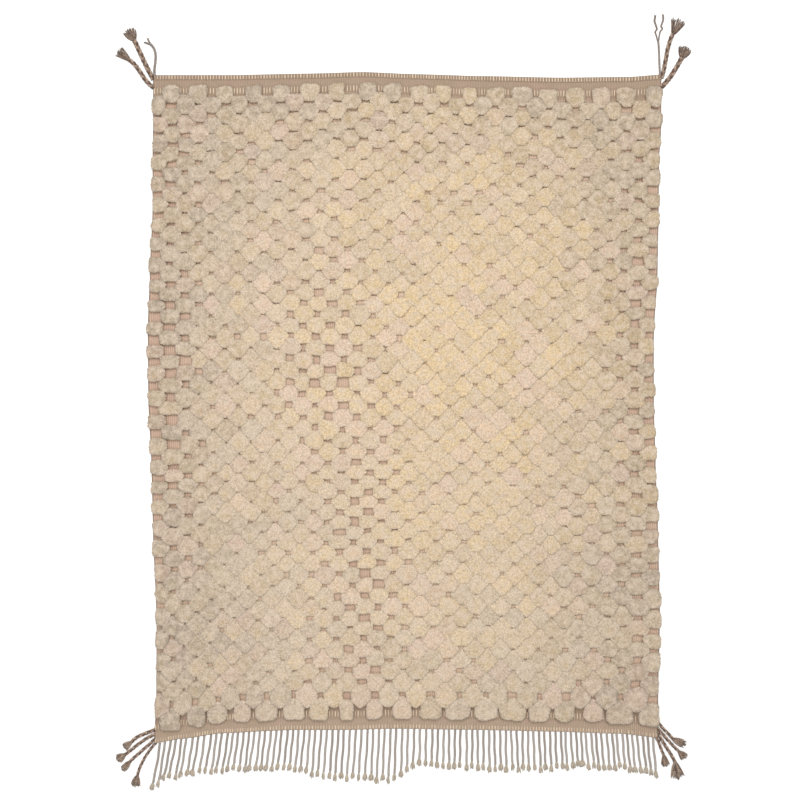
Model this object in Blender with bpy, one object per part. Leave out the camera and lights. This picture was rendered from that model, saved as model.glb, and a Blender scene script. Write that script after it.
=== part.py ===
"""A Beni Mrirt rug, laid flat: a checkerboard of cut wool tufts on a flat-woven ground, a bare
flat-woven band at each end, a fringe of twisted cords at one end, and plaits with tassels at the
corners. Metres, +Z up. The origin is at the middle of the underside, +X runs across the rug, and
+Y towards the closed end, the one without a fringe."""

import math

import bmesh
import bpy
from mathutils import Vector

# The woven body
WIDTH = 2.000  # between the straight lines that the sides sway about
CLOSED_END = 1.295  # how far each end's mean line lies from the origin
FRINGED_END = 1.299
BAND = 0.055  # depth of the bare band at each end
COLUMNS = 38  # cells of the checkerboard across the rug
ROWS = 59  # and along it
GROUND_THICK = 0.005  # the flat weave between the tufts
BAND_THICK = 0.0045
PILE_HIGH = 0.028  # a tuft's top above the floor
PILE_UNEVEN = 0.0015

# How the tufts close over the ground: 0 where they meet over it, 1 where it shows plainly
CLOSED_GAP = 0.018  # height of the surface over a ground cell where the pile is closed
CLOSED_SADDLE = 0.58  # height where two tufts meet, as a share of the pile, closed and open
OPEN_SADDLE = 0.25
RIM_SADDLE = 0.6  # at the field's edge the saddles are this much of their height
RIM_SADDLE_IN = 0.25  # and lie this share of a cell inside it
OPENNESS = 0.14
OPEN_PATCHES = (
    # name, across, along, spread across, spread along, more open by
    ("first row", 0.50, 0.00, 1.50, 0.02, 0.25),
    ("closed end", 0.45, 0.00, 0.80, 0.17, 0.30),
    ("left side", 0.02, 0.45, 0.07, 0.40, 0.65),
    ("left of centre", 0.34, 0.42, 0.08, 0.20, 0.42),
    ("centre, low", 0.43, 0.78, 0.07, 0.25, 0.62),
    ("right side", 0.98, 0.45, 0.05, 0.50, 0.55),
    ("left half", 0.28, 0.47, 0.20, 0.07, 0.15),
    ("fringed end", 0.38, 1.00, 0.30, 0.05, 0.45),
    ("fringed corner", 0.86, 0.98, 0.16, 0.05, 0.30),
)

# The rim: a tuft at the side leans out over the edge as a short lock, but in the first and last rows,
# where the plaits leave the edge
RIM_OUT = 0.003
RIM_HIGH = 0.013

# The sides sway and the ends bow: how far each lies outside its straight line
SIDE_SWAY = (
    # along from the closed end, left, right
    (0.00, -0.004, 0.005),
    (0.06, -0.004, 0.004),
    (0.11, -0.002, -0.004),
    (0.20, -0.002, -0.006),
    (0.30, 0.008, -0.010),
    (0.40, 0.017, -0.025),
    (0.50, 0.015, -0.025),
    (0.60, 0.002, -0.018),
    (0.70, -0.003, -0.009),
    (0.85, -0.018, -0.001),
    (0.98, -0.0165, -0.008),
    (1.00, -0.009, -0.008),
)
END_BOW = (
    # across from the left, closed end, fringed end
    (0.00, 0.000, 0.036),
    (0.06, 0.000, 0.019),
    (0.15, 0.000, -0.003),
    (0.30, 0.006, -0.016),
    (0.40, 0.012, -0.016),
    (0.50, 0.004, -0.021),
    (0.65, -0.004, -0.0165),
    (0.80, -0.010, -0.010),
    (0.94, -0.007, -0.001),
    (1.00, 0.002, 0.015),
)

# The lattice of cells strays from an even one, as a hand-woven one does
COLUMNS_AT = (0.07, 0.24, 0.34, 0.44, 0.64, 0.83, 0.93)  # the shares of the width at which strays are given
COLUMN_STRAY = (
    # along; how far to the right at each of those places, from the left
    (0.00, 0.004, 0.008, 0.020, 0.032, 0.009, 0.008, -0.002),
    (0.12, 0.003, -0.001, 0.013, 0.024, 0.002, -0.004, -0.013),
    (0.25, 0.001, -0.006, 0.007, 0.017, -0.011, -0.021, -0.018),
    (0.45, 0.004, -0.006, -0.012, -0.001, -0.017, -0.038, -0.033),
    (0.60, 0.018, -0.003, -0.018, -0.011, -0.023, -0.041, -0.031),
    (0.75, 0.014, -0.016, -0.026, -0.022, -0.009, -0.042, -0.030),
    (0.88, 0.002, -0.028, -0.037, -0.036, -0.019, -0.039, -0.023),
    (1.00, -0.008, -0.049, -0.045, -0.050, -0.031, -0.031, -0.033),
)
ROWS_AT = (0.08, 0.36, 0.50, 0.64, 0.80, 0.92)
ROW_STRAY = (
    # along; how far towards the fringed end at each of those places, from the left
    (0.00, 0.000, 0.000, 0.000, 0.000, 0.000, 0.000),
    (0.02, 0.003, -0.003, 0.002, 0.004, 0.009, 0.014),
    (0.07, -0.010, -0.019, -0.011, -0.009, -0.001, 0.010),
    (0.12, -0.025, -0.027, -0.020, -0.020, -0.013, 0.000),
    (0.20, -0.032, -0.036, -0.029, -0.031, -0.024, -0.010),
    (0.28, -0.052, -0.050, -0.038, -0.041, -0.033, -0.018),
    (0.38, -0.060, -0.049, -0.042, -0.045, -0.040, -0.028),
    (0.46, -0.053, -0.037, -0.030, -0.025, -0.020, -0.015),
    (0.52, -0.038, -0.028, -0.022, -0.026, -0.019, -0.024),
    (0.59, -0.021, -0.011, -0.012, -0.009, -0.013, -0.030),
    (0.66, -0.039, -0.026, -0.022, -0.018, -0.012, -0.029),
    (0.74, -0.049, -0.036, -0.042, -0.041, -0.039, -0.046),
    (0.84, -0.039, -0.030, -0.036, -0.043, -0.043, -0.053),
    (0.94, -0.034, -0.036, -0.037, -0.038, -0.043, -0.054),
    (0.975, -0.034, -0.030, -0.028, -0.026, -0.030, -0.037),
    (1.00, 0.000, 0.000, 0.000, 0.000, 0.000, 0.000),
)

# The fringe: twisted cords with brushed ends, fused at their roots into a narrow strip
GAP = 0.0003  # between pieces that touch
STRANDS = 90
STRIP_DEEP = 0.006
STRIP_THICK = 0.004
STRIP_FROM_CORNER = 0.0150  # the plait at each corner takes this much of the edge
STRIP_BESIDE = 0.0065  # the strip beside the first and the last strand
STRAND_WIDE = 0.0092
STRAND_HIGH = 0.008
STRAND_STRAY = 0.0016  # at the root
STRAND_CURVE = 1.2
STRAND_SWAY = 0.0024
STRAND_LENGTHS = (
    # across from the left, length
    (0.00, 0.178),
    (0.03, 0.152),
    (0.08, 0.148),
    (0.25, 0.156),
    (0.38, 0.196),
    (0.475, 0.206),
    (0.505, 0.148),
    (0.62, 0.155),
    (0.70, 0.160),
    (0.86, 0.135),
    (1.00, 0.148),
)
STRAND_LEANS = (
    # across from the left, how far a tip lies to the right of its root
    (0.00, -0.034),
    (0.06, -0.025),
    (1.00, 0.016),
)
STRAND_PLACES = (
    # across from the left, how far the strands stray from an even spacing
    (0.00, 0.000),
    (0.055, -0.004),
    (0.11, 0.006),
    (0.22, 0.001),
    (0.34, 0.003),
    (0.45, 0.014),
    (0.56, 0.027),
    (0.67, 0.032),
    (0.78, 0.031),
    (0.90, 0.014),
    (1.00, 0.000),
)
STRAND_UNEVEN = 0.008
STRAND_SECTIONS = (
    # share of the length, width, height
    (0.38, STRAND_WIDE, STRAND_HIGH),
    (0.76, STRAND_WIDE, STRAND_HIGH),
    (0.89, 0.0152, 0.010),
    (1.00, 0.0118, 0.006),
)
SECTION_TOP = 0.65  # a strand's top is this share of its foot's width

# The plaits at the corners. Headings are in degrees from +X towards +Y.
PLAITS = (
    # name, edge, from the corner, width, length, heading at root, middle, tip, tassel's heading,
    # tassel's length, tassel's spread
    ("braid_top_left_1", "left", 0.0145, 0.0185, 0.167, 120, 115, 116, 120, 0.051, 0.042),
    ("braid_top_left_2", "left", 0.048, 0.0170, 0.143, 148, 123, 149, 141, 0.058, 0.036),
    ("braid_top_right_1", "right", 0.0125, 0.0170, 0.177, 70, 80, 62, 67, 0.066, 0.054),
    ("braid_top_right_2", "right", 0.049, 0.0190, 0.139, 42, 57, 60, 69, 0.050, 0.045),
    ("braid_bottom_left_1", "left", -0.053, 0.0140, 0.104, -154, -157, -126, -142, 0.038, 0.024),
    ("braid_bottom_left_2", "left", -0.0345, 0.0130, 0.141, -158, -143, -143, -147, 0.037, 0.030),
    ("braid_bottom_left_3", "left", -0.0150, 0.0125, 0.131, -135, -139, -136, -131, 0.044, 0.020),
    ("braid_bottom_left_4", "fringed", 0.005, 0.0115, 0.147, -132, -120, -104, -100, 0.046, 0.034),
    ("braid_bottom_right_1", "right", -0.062, 0.0120, 0.087, -57, -46, -51, -26, 0.056, 0.026),
    ("braid_bottom_right_2", "right", -0.036, 0.0120, 0.120, -50, -48, -43, -46, 0.039, 0.030),
    ("braid_bottom_right_3", "right", -0.0165, 0.0130, 0.128, -63, -57, -64, -79, 0.069, 0.052),
    ("braid_bottom_right_4", "fringed", -0.0072, 0.0115, 0.075, -52, -71, -57, -79, 0.046, 0.028),
)
PLAIT_HIGH = 0.0095
PLAIT_STEP = 0.0078  # from one crossing strand's crown to the next one's, on the other side
PLAIT_SWELL = 0.14  # how far a crown stands out, as a share of the plait's size
PLAIT_TWIST = 0.21  # and how far it stands up
PLAIT_TOP = 0.7
ROOT_NARROW = 0.80  # the plait's width where it leaves the edge
ROOT_TOP = 0.8
CLEAR_OF_EDGE = 0.004
LEAST_LEAN = 0.4  # a plait that leaves along the edge is cut off at this cosine
TASSEL_LOCKS = 4
LOCK_WIDEST = 0.015
LOCK_TOP = 0.85
LOCK_SHORTER = 0.35  # towards each side of a tassel
LOCK_UNEVEN = 0.05
TASSEL_SECTIONS = (
    # share of the length, a lock's width as a share of its place, height
    (0.35, 0.93, 0.012),
    (0.75, 0.90, 0.010),
    (1.00, 0.76, 0.004),
)

# The loose ends of the cord that closes the unfringed end
CORD_HIGH = 0.0065
CORD_STEPS = 8
PLY_WIDE = 0.0055  # a free end, one of the cord's plies
PLY_HIGH = 0.0045
PLY_THINNER = 0.25  # at its tip
CORD_ENDS = (
    # name, from the left or right corner, width, length, heading at root, middle, tip,
    # length of the free ends
    ("cord_end_top_left", 0.0065, 0.0095, 0.129, 99, 87, 149, 0.015),
    ("cord_end_top_right", -0.006, 0.0080, 0.132, 94, 92, 96, 0.100),
)
FREE_ENDS = {
    # share of their length, how far the left and right one lie to the right of the cord's line there
    "cord_end_top_left": (
        (0.00, -0.0022, 0.0022),
        (0.50, -0.0030, 0.0060),
        (1.00, -0.0040, 0.0110),
    ),
    "cord_end_top_right": (
        (0.00, -0.0020, 0.0020),
        (0.18, -0.0040, 0.0060),
        (0.38, -0.0085, 0.0120),
        (0.47, 0.0010, 0.0240),
        (0.56, -0.0010, 0.0165),
        (0.80, -0.0065, 0.0285),
        (1.00, -0.0010, 0.0300),
    ),
}

COLLECTION = "mrirt_rug"
COLOURS = {
    # base colour, roughness
    "wool_pile": ((0.62, 0.50, 0.38), 0.95),
    "fringe_yarn": ((0.46, 0.38, 0.30), 0.90),
    "braid_yarn": ((0.38, 0.26, 0.18), 0.90),
    "cord_yarn": ((0.50, 0.42, 0.36), 0.90),
}


def scatter(a, b=0):
    """A repeatable unevenness from -1 to 1 for a tuft or a strand."""
    return 2.0 * ((math.sin(12.9898 * a + 78.233 * b + 1.7) * 43758.5453) % 1.0) - 1.0


def read(table, at, column):
    """The table's column at a place between its rows, on a smooth curve through them."""
    for low, high in zip(table, table[1:]):
        if at <= high[0] or high is table[-1]:
            share = min(max((at - low[0]) / (high[0] - low[0]), 0.0), 1.0)
            ease = share * share * (3.0 - 2.0 * share)
            blend = 0.5 * (share + ease)
            return low[column] + (high[column] - low[column]) * blend


def left_edge(along):
    return -WIDTH / 2 - read(SIDE_SWAY, along, 1)


def right_edge(along):
    return WIDTH / 2 + read(SIDE_SWAY, along, 2)


def closed_edge(across):
    return CLOSED_END + read(END_BOW, across, 1)


def fringed_edge(across):
    return -FRINGED_END - read(END_BOW, across, 2)


def between(values, places, across):
    """The value at a place across the rug, from the values at some places, on a smooth curve."""
    return read(list(zip(places, values)), across, 1)


def column_x(across, along):
    """Where a column of the lattice lies, from shares of the field's width and length."""
    inner = [read(COLUMN_STRAY, along, k + 1) for k in range(len(COLUMNS_AT))]
    strays = [left_edge(along) + WIDTH / 2, *inner, right_edge(along) - WIDTH / 2]
    return WIDTH * (across - 0.5) + between(strays, (0.0, *COLUMNS_AT, 1.0), across)


def row_y(across, along):
    first = closed_edge(across) - BAND
    last = fringed_edge(across) + BAND
    strays = [read(ROW_STRAY, along, k + 1) for k in range(len(ROWS_AT))]
    return first + (last - first) * along - between(strays, ROWS_AT, across)


def openness(across, along):
    more = sum(
        by * math.exp(-(((across - u) / du) ** 2) - ((along - v) / dv) ** 2)
        for _, u, v, du, dv, by in OPEN_PATCHES
    )
    return min(OPENNESS + more, 1.0)


def is_tuft(column, row):
    return (column + row) % 2 == 1


def field_height(across, along, column, row):
    """The surface's height at the middle of a cell."""
    if is_tuft(column, row):
        return PILE_HIGH + PILE_UNEVEN * scatter(column, row)
    return CLOSED_GAP + (GROUND_THICK - CLOSED_GAP) * openness(across, along)


def saddle_height(across, along):
    """The surface's height at a corner of the lattice, where two tufts meet."""
    share = CLOSED_SADDLE + (OPEN_SADDLE - CLOSED_SADDLE) * openness(across, along)
    return GROUND_THICK + (PILE_HIGH - GROUND_THICK) * share


def new_material(name):
    colour, roughness = COLOURS[name]
    material = bpy.data.materials.new(name)
    material.use_nodes = True
    shader = material.node_tree.nodes["Principled BSDF"]
    shader.inputs["Base Color"].default_value = (*colour, 1.0)
    shader.inputs["Roughness"].default_value = roughness
    shader.inputs["Metallic"].default_value = 0.0
    return material


def new_object(name, bm, material):
    """Closes the work on a bmesh: its faces are turned outwards and it becomes a named object."""
    bmesh.ops.recalc_face_normals(bm, faces=bm.faces)
    mesh = bpy.data.meshes.new(name)
    bm.to_mesh(mesh)
    bm.free()
    mesh.materials.append(material)
    made = bpy.data.objects.new(name, mesh)
    bpy.data.collections[COLLECTION].objects.link(made)
    return made


# ---------------------------------------------------------------- the woven body


def lattice_lines(cells):
    """The shares at which a side of the field has a line of points: its edges and its cells' middles."""
    return [0.0] + [(i + 0.5) / cells for i in range(cells)] + [1.0]


def place_body_point(i, j):
    """The place of a point of the body's top: i counts across from the left, j along from the closed end."""
    across = lattice_lines(COLUMNS)[i]
    rim = i in (0, COLUMNS + 1)
    if j in (0, ROWS + 3):
        y = closed_edge(across) if j == 0 else fringed_edge(across)
        return Vector((column_x(across, 0.0 if j == 0 else 1.0), y, BAND_THICK))
    along = lattice_lines(ROWS)[j - 1]
    x, y = column_x(across, along), row_y(across, along)
    if along in (0.0, 1.0):
        return Vector((x, y, BAND_THICK))
    if not rim:
        return Vector((x, y, field_height(across, along, i - 1, j - 2)))
    beside = 0 if i == 0 else COLUMNS - 1
    if not is_tuft(beside, j - 2) or j in (2, ROWS + 1):
        return Vector((x, y, GROUND_THICK))
    return Vector((x + math.copysign(RIM_OUT, x), y, RIM_HIGH))


def build_body():
    """The ground with its tufts as one lumpy slab, flat underneath."""
    bm = bmesh.new()
    across_points, along_points = COLUMNS + 2, ROWS + 4
    bmesh.ops.create_grid(bm, x_segments=across_points - 1, y_segments=along_points - 1, size=1.0)
    bm.verts.ensure_lookup_table()
    index = {}
    for vert in bm.verts:
        i = round((vert.co.x + 1) / 2 * (across_points - 1))
        j = round((1 - vert.co.y) / 2 * (along_points - 1))
        index[vert] = (i, j)
    field = {}
    for face in bm.faces:
        i = min(index[v][0] for v in face.verts)
        j = min(index[v][1] for v in face.verts)
        if 0 < j < along_points - 2:
            field[face] = (i, j)
    for vert, (i, j) in index.items():
        vert.co = place_body_point(i, j)
    corners = list(field.values())
    made = bmesh.ops.poke(bm, faces=list(field))
    for vert, (i, j) in zip(made["verts"], corners):
        across = min(max(i, RIM_SADDLE_IN), COLUMNS - RIM_SADDLE_IN) / COLUMNS
        along = min(max(j - 1, RIM_SADDLE_IN), ROWS - RIM_SADDLE_IN) / ROWS
        high = saddle_height(across, along)
        if i in (0, COLUMNS) or j in (1, ROWS + 1):
            high = GROUND_THICK + (high - GROUND_THICK) * RIM_SADDLE
        vert.co = Vector((column_x(across, along), row_y(across, along), high))
    rim_edges = [edge for edge in bm.edges if edge.is_boundary]
    walls = bmesh.ops.extrude_edge_only(bm, edges=rim_edges)
    foot = [item for item in walls["geom"] if isinstance(item, bmesh.types.BMVert)]
    for vert in foot:
        if vert.co.z > BAND_THICK + 0.5 * (RIM_HIGH - BAND_THICK):
            vert.co.x -= math.copysign(RIM_OUT, vert.co.x)
        vert.co.z = 0.0
    foot_edges = [item for item in walls["geom"] if isinstance(item, bmesh.types.BMEdge)]
    bmesh.ops.contextual_create(bm, geom=foot_edges)
    new_object("rug_body", bm, new_material("wool_pile"))


# ---------------------------------------------------------------- strands and plaits


def towards(heading):
    """The unit vector along a heading in degrees, and the one across it to its right."""
    turn = math.radians(heading)
    forward = Vector((math.cos(turn), math.sin(turn), 0.0))
    return forward, Vector((forward.y, -forward.x, 0.0))


def section(centre, across, width, high, top=SECTION_TOP, columns=1):
    """The points round a section that lies on the floor: along its foot, then back over its top."""
    shares = [i / columns - 0.5 for i in range(columns + 1)]
    foot = [centre + across * (width * share) for share in shares]
    crown = [centre + across * (width * top * share) + Vector((0, 0, high)) for share in reversed(shares)]
    return foot + crown


def skin(bm, ring, points):
    """Joins a ring of vertices to the next section's points, and returns those as the new ring."""
    made = [bm.verts.new(point) for point in points]
    for i in range(len(ring)):
        j = (i + 1) % len(ring)
        bm.faces.new((ring[i], ring[j], made[j], made[i]))
    return made


def flare(bm, ring, points):
    """Joins a ring of four to a section of more columns, and returns the new ring."""
    made = [bm.verts.new(point) for point in points]
    half = len(made) // 2
    foot, crown = made[:half], made[half:]
    bm.faces.new((ring[0], ring[1], *reversed(foot)))
    bm.faces.new((ring[2], ring[3], *reversed(crown)))
    bm.faces.new((ring[1], ring[2], crown[0], foot[-1]))
    bm.faces.new((ring[3], ring[0], foot[0], crown[-1]))
    return made


def columns_of(ring):
    """The quads of a section's end, one for each of its columns."""
    half = len(ring) // 2
    return [(ring[i], ring[i + 1], ring[-2 - i], ring[-1 - i]) for i in range(half - 1)]


def curved_path(start, root, middle, tip, length, steps):
    """Points along a curve whose heading passes through three values, each with its heading."""
    path = []
    point = start.copy()
    for step in range(steps + 1):
        share = step / steps
        heading = (
            root * (2 * share * share - 3 * share + 1)
            + middle * (4 * share - 4 * share * share)
            + tip * (2 * share * share - share)
        )
        path.append((point.copy(), heading))
        point += towards(heading)[0] * (length / steps)
    return path


def edge_point(edge, from_corner):
    """A point on the body's outline and the direction of the outline there. On a side, from_corner
    is measured from the closed end, or from the fringed end if it is negative; on an end, it is
    measured from the left, or from the right if it is negative."""
    length = CLOSED_END + FRINGED_END
    step = 0.01
    if edge in ("left", "right"):
        side = left_edge if edge == "left" else right_edge
        corner = 0.0 if edge == "left" else 1.0
        y = closed_edge(corner) - from_corner
        if from_corner < 0:
            y = fringed_edge(corner) - from_corner
        along = (CLOSED_END - y) / length
        x = column_x(corner, min(max((along * length - BAND) / (length - 2 * BAND), 0.0), 1.0))
        slope = (side(along - step) - side(along + step)) / (2 * step * length)
        return Vector((x, y, 0.0)), Vector((slope, 1.0, 0.0)).normalized()
    end = closed_edge if edge == "closed" else fringed_edge
    across = from_corner / WIDTH if from_corner > 0 else 1.0 + from_corner / WIDTH
    low = min(max(across - step, 0.0), 1.0 - 2 * step)
    slope = (end(low + 2 * step) - end(low)) / (2 * step * WIDTH)
    x = column_x(across, 0.0 if edge == "closed" else 1.0)
    return Vector((x, end(across), 0.0)), Vector((1.0, slope, 0.0)).normalized()


def root_section(edge, from_corner, heading, width, high, top):
    """The section where a plait or a cord leaves the body, cut along the body's edge a gap away: its
    middle, its points, and how far along the heading a square section clears the edge."""
    point, seam = edge_point(edge, from_corner)
    forward, across = towards(heading)
    outward = Vector((seam.y, -seam.x, 0.0))
    if outward.dot(forward) < 0:
        outward = -outward
    seam = seam if seam.dot(across) > 0 else -seam
    lean = max(outward.dot(forward), LEAST_LEAN)
    start = point + outward * (2 * GAP)
    lead = 0.5 * width / ROOT_NARROW * math.sqrt(1 - lean * lean) / lean + CLEAR_OF_EDGE
    return start, section(start, seam, width / lean, high, top), lead


def grow_locks(bm, ring, centre, heading, length, spread, first_width, widest):
    """Grows one lock from each column of a section: together they fan out over the spread, each
    filling its place but no wider than the widest."""
    cells = columns_of(ring)
    forward, across = towards(heading)
    for k, cell in enumerate(cells):
        place = (k + 0.5) / len(cells) - 0.5
        lock = list(cell)
        reach = length * (1.0 - LOCK_SHORTER * abs(place) + LOCK_UNEVEN * scatter(k, heading))
        for share, fill, high in TASSEL_SECTIONS:
            wide = first_width + (spread - first_width) * math.sin(0.5 * math.pi * share)
            middle = centre + forward * (reach * share) + across * (place * wide)
            lock_wide = min(wide / len(cells), widest) * fill
            lock = skin(bm, lock, section(middle, across, lock_wide, min(high, widest), LOCK_TOP))
        bm.faces.new(lock)


def build_plait(name, edge, from_corner, width, length, root, middle, tip, tassel, long, spread):
    """A three-strand plait lying on the floor, with its end brushed out as a tassel."""
    bm = bmesh.new()
    root_wide = width * ROOT_NARROW
    start, points, lead = root_section(edge, from_corner, root, root_wide, GROUND_THICK, ROOT_TOP)
    ring = [bm.verts.new(point) for point in points]
    bm.faces.new(ring)
    steps = round(length / PLAIT_STEP)
    path = curved_path(start, root, middle, tip, length, steps)
    for k, (centre, heading) in enumerate(path[math.ceil(lead / PLAIT_STEP) : -1]):
        _, across = towards(heading)
        swell = PLAIT_SWELL if k % 2 else -PLAIT_SWELL
        centre = centre + across * (0.5 * width * swell)
        points = section(centre, across, width, PLAIT_HIGH, PLAIT_TOP)
        twist = PLAIT_TWIST if k % 2 else -PLAIT_TWIST
        points[2].z *= 1 + twist
        points[3].z *= 1 - twist
        ring = skin(bm, ring, points)
    end, heading = path[-1]
    _, across = towards(heading)
    ring = flare(bm, ring, section(end, across, width, PLAIT_HIGH, ROOT_TOP, TASSEL_LOCKS))
    grow_locks(bm, ring, end, tassel, long, spread, width, LOCK_WIDEST)
    new_object(name, bm, new_material("braid_yarn"))


def grow_plies(bm, ring, centre, heading, length, stations):
    """Grows the cord's free plies out of the columns of its end, along their table."""
    forward, across = towards(heading)
    for ply, cell in enumerate(columns_of(ring)):
        line = [centre + forward * (length * row[0]) + across * row[ply + 1] for row in stations]
        lock = list(cell)
        for k in range(1, len(line)):
            ahead = (line[min(k + 1, len(line) - 1)] - line[k - 1]).normalized()
            aside = Vector((ahead.y, -ahead.x, 0.0))
            size = 1.0 - PLY_THINNER * stations[k][0]
            points = section(line[k], aside, PLY_WIDE * size, PLY_HIGH * size, LOCK_TOP)
            lock = skin(bm, lock, points)
        bm.faces.new(lock)


def build_cord_end(name, from_corner, width, length, root, middle, tip, long):
    """A twisted cord that comes out of the closed end, untwisted into its two plies at the tip."""
    bm = bmesh.new()
    start, points, _ = root_section("closed", from_corner, root, width, BAND_THICK, SECTION_TOP)
    ring = [bm.verts.new(point) for point in points]
    bm.faces.new(ring)
    path = curved_path(start, root, middle, tip, length, CORD_STEPS)
    for centre, heading in path[1:-1]:
        ring = skin(bm, ring, section(centre, towards(heading)[1], width, CORD_HIGH))
    end, heading = path[-1]
    ring = flare(bm, ring, section(end, towards(heading)[1], width, CORD_HIGH, ROOT_TOP, 2))
    grow_plies(bm, ring, end, tip, long, FREE_ENDS[name])
    new_object(name, bm, new_material("cord_yarn"))


# ---------------------------------------------------------------- the fringe


def strip_edge(x, deep):
    """A point at a depth below the body's fringed edge, which is straight between its points."""
    line = [place_body_point(i, ROWS + 3) for i in range(COLUMNS + 2)]
    low, high = next((a, b) for a, b in zip(line, line[1:]) if x <= b.x or b is line[-1])
    share = (x - low.x) / (high.x - low.x)
    return Vector((x, low.y + (high.y - low.y) * share - GAP - deep, 0.0))


def strand_root(number):
    """How far across the rug a strand leaves the strip: evenly spaced, but for a slow and a small stray."""
    share = number / (STRANDS - 1)
    first = column_x(0.0, 1.0) + STRIP_FROM_CORNER + STRIP_BESIDE
    last = column_x(1.0, 1.0) - STRIP_FROM_CORNER - STRIP_BESIDE
    even = first + (last - first) * share
    return even + read(STRAND_PLACES, share, 1) + STRAND_STRAY * scatter(number, 2)


def grow_strand(bm, root, centre, number):
    """Grows a twisted cord with a brushed end out of its root, level on the floor."""
    across_share = number / (STRANDS - 1)
    length = read(STRAND_LENGTHS, across_share, 1) + STRAND_UNEVEN * scatter(number)
    lean = read(STRAND_LEANS, across_share, 1) - STRAND_STRAY * scatter(number, 2)
    sway = STRAND_SWAY * scatter(number, 1)
    ring = list(root)
    for share, wide, high in STRAND_SECTIONS:
        aside = lean * share**STRAND_CURVE + sway * math.sin(0.5 * math.pi * share)
        middle = centre + Vector((aside, -length * share, 0.0))
        ring = skin(bm, ring, section(middle, Vector((1, 0, 0)), wide, high))
    bm.faces.new(ring)


def build_fringe():
    """A narrow strip under the fringed edge, with the strands growing out of its front."""
    bm = bmesh.new()
    stations = [place_body_point(i, ROWS + 3).x for i in range(COLUMNS + 2)]
    first, last = stations[0] + STRIP_FROM_CORNER, stations[-1] - STRIP_FROM_CORNER
    back = [first] + [x for x in stations if first < x < last] + [last]
    roots = [strand_root(number) for number in range(STRANDS)]
    front = [last]
    for x in reversed(roots):
        front += [x + STRAND_WIDE / 2, x - STRAND_WIDE / 2]
    front.append(first)
    outline = [strip_edge(x, 0.0) for x in back] + [strip_edge(x, STRIP_DEEP) for x in front]
    foot = [bm.verts.new(point) for point in outline]
    crown = [bm.verts.new(point + Vector((0, 0, STRIP_THICK))) for point in outline]
    bm.faces.new(foot)
    bm.faces.new(crown)
    for i in range(len(outline)):
        j = (i + 1) % len(outline)
        place = i - len(back)
        number = STRANDS - 1 - place // 2
        if place % 2 == 1 and 0 <= number < STRANDS:
            root = (foot[j], foot[i], crown[i], crown[j])
            grow_strand(bm, root, strip_edge(roots[number], STRIP_DEEP), number)
        else:
            bm.faces.new((foot[i], foot[j], crown[j], crown[i]))
    new_object("fringe", bm, new_material("fringe_yarn"))


def clear_scene():
    for thing in list(bpy.data.objects):
        bpy.data.objects.remove(thing, do_unlink=True)
    collection = bpy.data.collections.new(COLLECTION)
    bpy.context.scene.collection.children.link(collection)


clear_scene()
build_body()
build_fringe()
for row in PLAITS:
    build_plait(*row)
for row in CORD_ENDS:
    build_cord_end(*row)
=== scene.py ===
"""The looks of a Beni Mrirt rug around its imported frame: a checkerboard of cut wool tufts on a ribbed
flat weave, stitched bands at the ends, a fringe of twisted cords, and plaits with brushed tassels.
Metres, in the frame's own axes: +X across the rug, +Y towards the closed end, +Z up."""

import math

import bpy
import numpy as np
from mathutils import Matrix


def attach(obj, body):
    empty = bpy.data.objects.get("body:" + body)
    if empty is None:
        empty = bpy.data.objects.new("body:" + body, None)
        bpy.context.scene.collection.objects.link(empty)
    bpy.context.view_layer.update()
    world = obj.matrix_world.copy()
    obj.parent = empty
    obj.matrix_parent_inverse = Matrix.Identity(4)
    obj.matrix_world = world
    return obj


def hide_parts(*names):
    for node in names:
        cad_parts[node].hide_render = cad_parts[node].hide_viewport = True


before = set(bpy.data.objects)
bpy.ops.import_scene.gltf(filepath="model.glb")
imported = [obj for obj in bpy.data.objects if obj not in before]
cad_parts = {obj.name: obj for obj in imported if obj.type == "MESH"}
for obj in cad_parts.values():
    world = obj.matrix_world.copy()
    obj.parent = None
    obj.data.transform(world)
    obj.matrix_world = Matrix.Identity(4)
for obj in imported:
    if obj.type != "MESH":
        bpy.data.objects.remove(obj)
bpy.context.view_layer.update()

# ---- the rug's layout, as in the solids

WIDTH = 2.000
CLOSED_END = 1.295
FRINGED_END = 1.299
BAND = 0.055
COLUMNS = 38
ROWS = 59
PILE_HIGH = 0.028
PILE_UNEVEN = 0.0015
OPENNESS = 0.14
OPEN_PATCHES = (
    # name, across, along, spread across, spread along, more open by
    ("first row", 0.50, 0.00, 1.50, 0.02, 0.25),
    ("closed end", 0.45, 0.00, 0.80, 0.17, 0.30),
    ("left side", 0.02, 0.45, 0.07, 0.40, 0.65),
    ("left of centre", 0.34, 0.42, 0.08, 0.20, 0.42),
    ("centre, low", 0.43, 0.78, 0.07, 0.25, 0.62),
    ("right side", 0.98, 0.45, 0.05, 0.50, 0.55),
    ("left half", 0.28, 0.47, 0.20, 0.07, 0.15),
    ("fringed end", 0.38, 1.00, 0.30, 0.05, 0.45),
    ("fringed corner", 0.86, 0.98, 0.16, 0.05, 0.30),
)
SIDE_SWAY = (
    # along from the closed end, left, right
    (0.00, -0.004, 0.005), (0.06, -0.004, 0.004), (0.11, -0.002, -0.004), (0.20, -0.002, -0.006),
    (0.30, 0.008, -0.010), (0.40, 0.017, -0.025), (0.50, 0.015, -0.025), (0.60, 0.002, -0.018),
    (0.70, -0.003, -0.009), (0.85, -0.018, -0.001), (0.98, -0.0165, -0.008), (1.00, -0.009, -0.008),
)
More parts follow.
